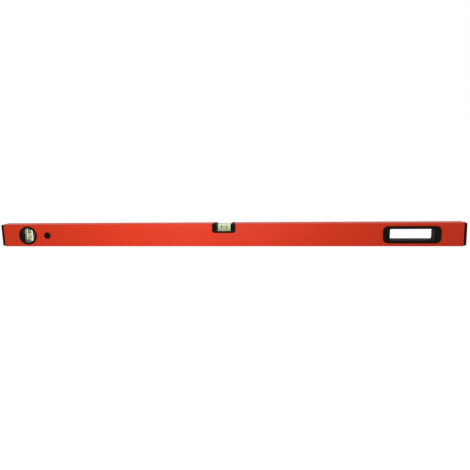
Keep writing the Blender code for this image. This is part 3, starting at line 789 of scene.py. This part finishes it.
def grip_half_mesh(node, insert):
    """Half of the hand grip: a flange with a sleeve round the opening and a skirt inside the cut-out."""
    face, seat, plane = flange_heights(node, insert)
    half = half_size(node)
    edge = insert.edge
    lip = insert.lip
    flat = 3 * edge  # some way past the round, on the flange's face
    sleeve = lip + insert.grip_sleeve
    margin = insert.grip_lap + insert.clearance

    def round_window(grow):
        return rounded_box(
            insert.grip_window / 2 + grow,
            insert.grip_window_rise / 2 + grow,
            insert.grip_window_round + grow,
        )

    def in_from_rim(inset):
        return rounded_box(half.x - inset, half.z - inset, insert.grip_round - inset)

    inner = rounded(
        [(lip, plane, 0), (lip, seat, 0), (0, seat + lip, 0), (0, face, edge), (flat, face, 0)]
    )
    outer = rounded([(flat, face, 0), (0, face, edge), (0, seat, 0)])
    loops = [at_height(round_window(grow), z) for grow, z in inner]
    loops += [at_height(in_from_rim(inset), z) for inset, z in outer]
    loops += [at_height(round_window(sleeve), z) for z in (seat, plane)]
    foot = seat - insert.grip_skirt_depth
    root = (seat + face) / 2
    inside = margin + insert.grip_skirt
    ring = ((margin, foot), (margin, root), (inside, root), (inside, foot))
    skirt = skin([at_height(in_from_rim(inset), z) for inset, z in ring], closed=True)
    return combined(skin(loops, closed=True), "UNION", skirt)


class Bore:
    """Barrel-shaped bore of one vial, with a frame whose Z runs along it towards the stopper."""

    def __init__(self, prefix, lines, facing, axis, sizes, insert):
        self.nodes = {
            part: f"{prefix}_vial_{part}" for part in ("block", "fluid", "bubble", "plug")
        }
        self.lines = [f"{prefix}_gauge_ring_{line}" for line in lines]
        corners = [corner for line in self.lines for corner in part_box(line)]
        self.frame = Matrix.Translation(sum(corners, Vector()) / len(corners)) @ facing
        self.axis = axis
        self.across = [index for index in range(3) if index != axis]
        fluid = half_size(self.nodes["fluid"])
        self.middle_radius = fluid[self.across[0]] + insert.clearance
        self.chamber = fluid[axis] + insert.clearance
        self.sizes = sizes

    def radius(self, along):
        return self.middle_radius - self.sizes.sag * (along / self.chamber) ** 2

    def wall(self, margin):
        """(radius, height) points down the barrel, just inside its wall."""
        end = self.chamber - margin
        heights = [end * (2 * step / BARREL_STEPS - 1) for step in range(BARREL_STEPS + 1)]
        return [(self.radius(height) - margin, height) for height in heights]

    def placed(self, mesh, along=0.0):
        return moved(mesh, self.frame @ Matrix.Translation((0, 0, along)))

    def along(self, node):
        """Where a node's centre lies on the bore."""
        low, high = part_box(node)
        return (self.frame.inverted() @ ((low + high) / 2)).z

    def cutter(self):
        mouth = (self.radius(self.chamber), 3 * self.chamber)  # well outside the block
        return self.placed(lathe(self.wall(0) + [mouth], BORE_SIDES, closed=False))

    def mark_faces(self, mesh):
        """Gives the wetted faces of the block the second material, and its moulded sides the third."""
        inward = self.frame.inverted()
        top = max(vertex.co.z for vertex in mesh.vertices) - self.sizes.film
        for face in mesh.polygons:
            spot = inward @ face.center
            on_axis = math.hypot(spot.x, spot.y) < self.middle_radius + self.sizes.film
            if on_axis and abs(spot.z) < self.chamber + self.sizes.film:
                face.material_index = WETTED_FACE
            elif abs(face.normal.y) < SIDEWAYS and face.center.z < top:
                face.material_index = MOULDED_FACE

    def liquid(self):
        return self.placed(lathe(self.wall(self.sizes.film), BORE_SIDES, closed=False))

    def ring(self, node, thick):
        half = half_size(node)
        outside = half[self.across[0]]
        width = half[self.axis]
        band = ((outside - thick, -width), (outside, -width), (outside, width), (outside - thick, width))
        return self.placed(lathe(band, BORE_SIDES, closed=True), self.along(node))

    def stopper(self, edge):
        half = half_size(self.nodes["plug"])
        outside = half[self.across[0]]
        reach = half[self.axis]

        def outline(inset):
            return circle(outside - inset, BORE_SIDES)

        body = soft_slab(outline, -reach, reach, edge, edge)
        return self.placed(body, self.along(self.nodes["plug"]))

    def bubble(self):
        """Oval bubble with full ends, inside its CAD node's box."""
        node = self.nodes["bubble"]
        low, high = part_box(node)
        half = (high - low) / 2
        power = self.sizes.fullness
        loops = []
        for ring in range(BUBBLE_RINGS):
            reach = -math.cos(math.pi * (ring + 0.5) / BUBBLE_RINGS)
            scale = (1 - abs(reach) ** power) ** (1 / power)
            loop = []
            for x, y in circle(scale, BORE_SIDES):
                point = (low + high) / 2
                point[self.axis] += reach * half[self.axis]
                point[self.across[0]] += x * half[self.across[0]]
                point[self.across[1]] += y * half[self.across[1]]
                loop.append(point)
            loops.append(loop)
        return skin(loops)


def plumb_block_mesh(insert, sizes):
    """Upright clear block whose round ends follow the housing."""
    half = half_size("plumb_vial_block")
    low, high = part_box("plumb_vial_block")
    reach = insert.plumb_window + insert.plumb_skirt - insert.plumb_socket_wall - insert.clearance
    body = soft_slab(
        lambda inset: cut_circle(half.x - inset, reach - inset), -high.y, -low.y, sizes.edge, sizes.edge
    )
    return moved(body, middle_of("plumb_vial_block") @ FACING_FRONT)


def centre_block_mesh(sizes):
    """Clear block along the beam, whose ends lie in the posts."""
    half = half_size("centre_vial_block")
    edge = sizes.edge

    def outline(inset):
        return rounded_box(half.x - inset, half.z - inset, CORNER_SHARE * edge - inset)

    body = soft_slab(outline, -half.y, half.y, edge, edge)
    return moved(body, middle_of("centre_vial_block") @ FACING_FRONT)


# Operators, one for each group of pieces and one for the stage

class LEVEL_OT_add_beam(Operator):
    """Painted box-section beam"""

    bl_idname = "level.add_beam"
    bl_label = "Beam"

    def execute(self, context):
        scene = context.scene
        mesh = beam_mesh(scene.level_beam, scene.level_inserts)
        add_piece("painted_beam", mesh, [finish(red_paint)], "red_paint", LEVEL, "beam_profile")
        return {"FINISHED"}


class LEVEL_OT_add_end_caps(Operator):
    """Black caps on both ends of the beam"""

    bl_idname = "level.add_end_caps"
    bl_label = "End caps"

    def execute(self, context):
        scene = context.scene
        for side, facing in (("left", FACING_LEFT), ("right", FACING_RIGHT)):
            node = f"{side}_end_cap"
            mesh = cap_mesh(node, facing, scene.level_beam, scene.level_inserts)
            add_piece(f"{side}_cap", mesh, [finish(cap_black)], "black_cap", LEVEL, node)
        return {"FINISHED"}


class LEVEL_OT_add_plumb_housing(Operator):
    """Round black housing of the plumb vial, in two halves"""

    bl_idname = "level.add_plumb_housing"
    bl_label = "Plumb housing"

    def execute(self, context):
        insert = context.scene.level_inserts
        for side, facing in SIDES:
            node = f"plumb_{side}_housing"
            mesh = moved(plumb_half_mesh(node, side == "front", insert), middle_of(node) @ facing)
            add_piece(f"plumb_{side}_bezel", mesh, [finish(insert_black)], "black_insert", LEVEL, node)
        return {"FINISHED"}


class LEVEL_OT_add_hanging_eye(Operator):
    """Black lining of the hanging hole, in two halves"""

    bl_idname = "level.add_hanging_eye"
    bl_label = "Hanging eye"

    def execute(self, context):
        insert = context.scene.level_inserts
        for side, facing in SIDES:
            node = f"eye_{side}_bush"
            mesh = moved(eye_bush_mesh(node, insert), middle_of(node) @ facing)
            add_piece(f"eye_{side}_lining", mesh, [finish(insert_black)], "black_insert", LEVEL, node)
        return {"FINISHED"}


class LEVEL_OT_add_centre_holder(Operator):
    """Black U that holds the centre vial, in two halves"""

    bl_idname = "level.add_centre_holder"
    bl_label = "Centre holder"

    def execute(self, context):
        insert = context.scene.level_inserts
        for side, facing in SIDES:
            node = f"centre_{side}_holder"
            mesh = moved(holder_half_mesh(node, side == "front", insert), facing)
            add_piece(f"centre_{side}_saddle", mesh, [finish(insert_black)], "black_insert", LEVEL, node)
        return {"FINISHED"}


class LEVEL_OT_add_vials(Operator):
    """Clear blocks with liquid, bubble, gauge lines and stopper"""

    bl_idname = "level.add_vials"
    bl_label = "Vials"

    def execute(self, context):
        scene = context.scene
        sizes = scene.level_vials
        insert = scene.level_inserts
        centre = Bore("centre", ("left", "right"), FACING_RIGHT, 0, sizes, insert)
        plumb = Bore("plumb", ("upper", "lower"), PLUG_DOWN, 2, sizes, insert)
        centre_faces = (centre_acrylic, bore_wall, centre_frost)
        plumb_faces = (plumb_acrylic, bore_wall, plumb_frost)
        self.fill("centre", centre, centre_block_mesh(sizes), centre_faces, centre_spirit)
        self.fill("plumb", plumb, plumb_block_mesh(insert, sizes), plumb_faces, plumb_spirit)
        return {"FINISHED"}

    def fill(self, prefix, bore, block, block_finishes, spirit):
        """One vial's pieces."""
        nodes = bore.nodes
        block = combined(block, "DIFFERENCE", bore.cutter())
        bore.mark_faces(block)
        clear_faces = [finish(maker) for maker in block_finishes]
        add_piece(f"{prefix}_clear_block", block, clear_faces, "clear_acrylic", LEVEL, nodes["block"])
        add_piece(f"{prefix}_liquid", bore.liquid(), [finish(spirit)], "green_fluid", LEVEL, nodes["fluid"])
        air = bore.bubble()
        body = f"{prefix}_bubble"
        add_piece(f"{prefix}_air", air, [finish(air_bubble)], "air_bubble", body, nodes["bubble"])
        for node in bore.lines:
            name = node.replace("gauge_ring", "line")
            add_piece(name, bore.ring(node, LINE_THICK), [finish(gauge_black)], "black_ring", LEVEL, node)
        stopper = bore.stopper(STOPPER_EDGE)
        add_piece(f"{prefix}_stopper", stopper, [finish(frosted_stopper)], "vial_plug", LEVEL, nodes["plug"])


class LEVEL_OT_add_hand_grip(Operator):
    """Black lining of the hand opening, in two halves"""

    bl_idname = "level.add_hand_grip"
    bl_label = "Hand grip"

    def execute(self, context):
        insert = context.scene.level_inserts
        for side, facing in SIDES:
            node = f"grip_{side}_shell"
            mesh = moved(grip_half_mesh(node, insert), middle_of(node) @ facing)
            add_piece(f"grip_{side}_frame", mesh, [finish(insert_black)], "black_insert", LEVEL, node)
        return {"FINISHED"}


class LEVEL_OT_set_stage(Operator):
    """Pale floor, soft light and camera"""

    bl_idname = "level.set_stage"
    bl_label = "Stage"

    def execute(self, context):
        stage = context.scene.level_stage
        self.add_floor(context, stage)
        self.add_light(context, stage)
        self.add_camera(context, stage)
        context.scene.view_settings.view_transform = "Standard"
        return {"FINISHED"}

    @staticmethod
    def seen_rays(tree):
        """1 for rays that show the background: seen directly, reflected or through something clear."""
        path = tree.nodes.new("ShaderNodeLightPath")
        seen = path.outputs["Is Camera Ray"]
        for name in ("Is Glossy Ray", "Is Transmission Ray"):
            either = tree.nodes.new("ShaderNodeMath")
            either.operation = "MAXIMUM"
            tree.links.new(seen, either.inputs[0])
            tree.links.new(path.outputs[name], either.inputs[1])
            seen = either.outputs[0]
        return seen

    def add_floor(self, context, stage):
        low = CAD_BOX[0].z - stage.floor_gap
        half = stage.floor_size / 2
        corners = [(-half, -half), (half, -half), (half, half), (-half, half)]
        mesh = bpy.data.meshes.new("pale_floor")
        mesh.from_pydata([(x, y, low) for x, y in corners], [], [range(len(corners))])
        floor = bpy.data.objects.new("pale_floor", mesh)
        context.scene.collection.objects.link(floor)
        material = bpy.data.materials.new("pale_floor")
        material.use_nodes = True
        mesh.materials.append(material)
        tree = material.node_tree
        tree.nodes.remove(tree.nodes["Principled BSDF"])
        lit = tree.nodes.new("ShaderNodeBsdfDiffuse")
        lit.inputs["Color"].default_value = (*stage.floor_colour, 1)
        shaded = tree.nodes.new("ShaderNodeBsdfDiffuse")
        shaded.inputs["Color"].default_value = (*[stage.floor_veil] * 3, 1)
        white = tree.nodes.new("ShaderNodeEmission")
        white.inputs["Strength"].default_value = stage.floor_glow
        shown = tree.nodes.new("ShaderNodeAddShader")
        either = tree.nodes.new("ShaderNodeMixShader")
        links = (
            (shaded.outputs[0], shown.inputs[0]),
            (white.outputs[0], shown.inputs[1]),
            (self.seen_rays(tree), either.inputs[0]),
            (lit.outputs[0], either.inputs[1]),
            (shown.outputs[0], either.inputs[2]),
            (either.outputs[0], tree.nodes["Material Output"].inputs["Surface"]),
        )
        for source, target in links:
            tree.links.new(source, target)

    def add_light(self, context, stage):
        world = bpy.data.worlds.new("soft_white")
        context.scene.world = world
        world.use_nodes = True
        tree = world.node_tree
        background = tree.nodes["Background"]
        background.inputs["Color"].default_value = (1, 1, 1, 1)
        level = tree.nodes.new("ShaderNodeMapRange")
        level.inputs["To Min"].default_value = stage.ambient
        level.inputs["To Max"].default_value = 1
        tree.links.new(self.seen_rays(tree), level.inputs["Value"])
        tree.links.new(level.outputs["Result"], background.inputs["Strength"])
        lamp = bpy.data.lights.new("key_lamp", "AREA")
        lamp.size = stage.key_size
        lamp.energy = stage.key_power
        key = bpy.data.objects.new("key_lamp", lamp)
        key.location = stage.key_place
        gaze = Vector(stage.key_aim) - Vector(stage.key_place)
        key.rotation_euler = gaze.to_track_quat("-Z", "Y").to_euler()
        key.visible_camera = False
        context.scene.collection.objects.link(key)

    def add_camera(self, context, stage):
        camera = bpy.data.cameras.new("camera")
        camera.lens = stage.camera_lens
        yaw = stage.camera_yaw
        dip = stage.camera_dip
        ahead = Vector((math.sin(yaw) * math.cos(dip), math.cos(yaw) * math.cos(dip), -math.sin(dip)))
        level_right = Vector((math.cos(yaw), -math.sin(yaw), 0))
        roll = Matrix.Rotation(-stage.camera_roll, 3, ahead)
        right = roll @ level_right
        up = right.cross(ahead)
        body = bpy.data.objects.new("camera", camera)
        turn_matrix = Matrix((right, up, -ahead)).transposed()
        body.matrix_world = Matrix.Translation(stage.camera_place) @ turn_matrix.to_4x4()
        context.scene.collection.objects.link(body)
        context.scene.camera = body


class LEVEL_PT_pieces(Panel):
    """Sidebar panel that lists the level's pieces"""

    bl_idname = "LEVEL_PT_pieces"
    bl_label = "Spirit level"
    bl_space_type = "VIEW_3D"
    bl_region_type = "UI"
    bl_category = "Level"

    def draw(self, context):
        for operator in OPERATORS:
            self.layout.operator(operator.bl_idname)


OPERATORS = (
    LEVEL_OT_add_beam,
    LEVEL_OT_add_end_caps,
    LEVEL_OT_add_plumb_housing,
    LEVEL_OT_add_hanging_eye,
    LEVEL_OT_add_centre_holder,
    LEVEL_OT_add_vials,
    LEVEL_OT_add_hand_grip,
    LEVEL_OT_set_stage,
)
SETTINGS = {
    "level_beam": BeamSizes,
    "level_inserts": InsertSizes,
    "level_vials": VialSizes,
    "level_finishes": LevelFinishes,
    "level_stage": LevelStage,
}


def register():
    for name, group in SETTINGS.items():
        bpy.utils.register_class(group)
        setattr(bpy.types.Scene, name, PointerProperty(type=group))
    for made in (*OPERATORS, LEVEL_PT_pieces):
        bpy.utils.register_class(made)


def unregister():
    for made in (LEVEL_PT_pieces, *reversed(OPERATORS)):
        bpy.utils.unregister_class(made)
    for name, group in reversed(SETTINGS.items()):
        delattr(bpy.types.Scene, name)
        bpy.utils.unregister_class(group)


def main():
    register()
    for operator in OPERATORS:
        area, name = operator.bl_idname.split(".")
        getattr(getattr(bpy.ops, area), name)()


if __name__ == "__main__":
    main()
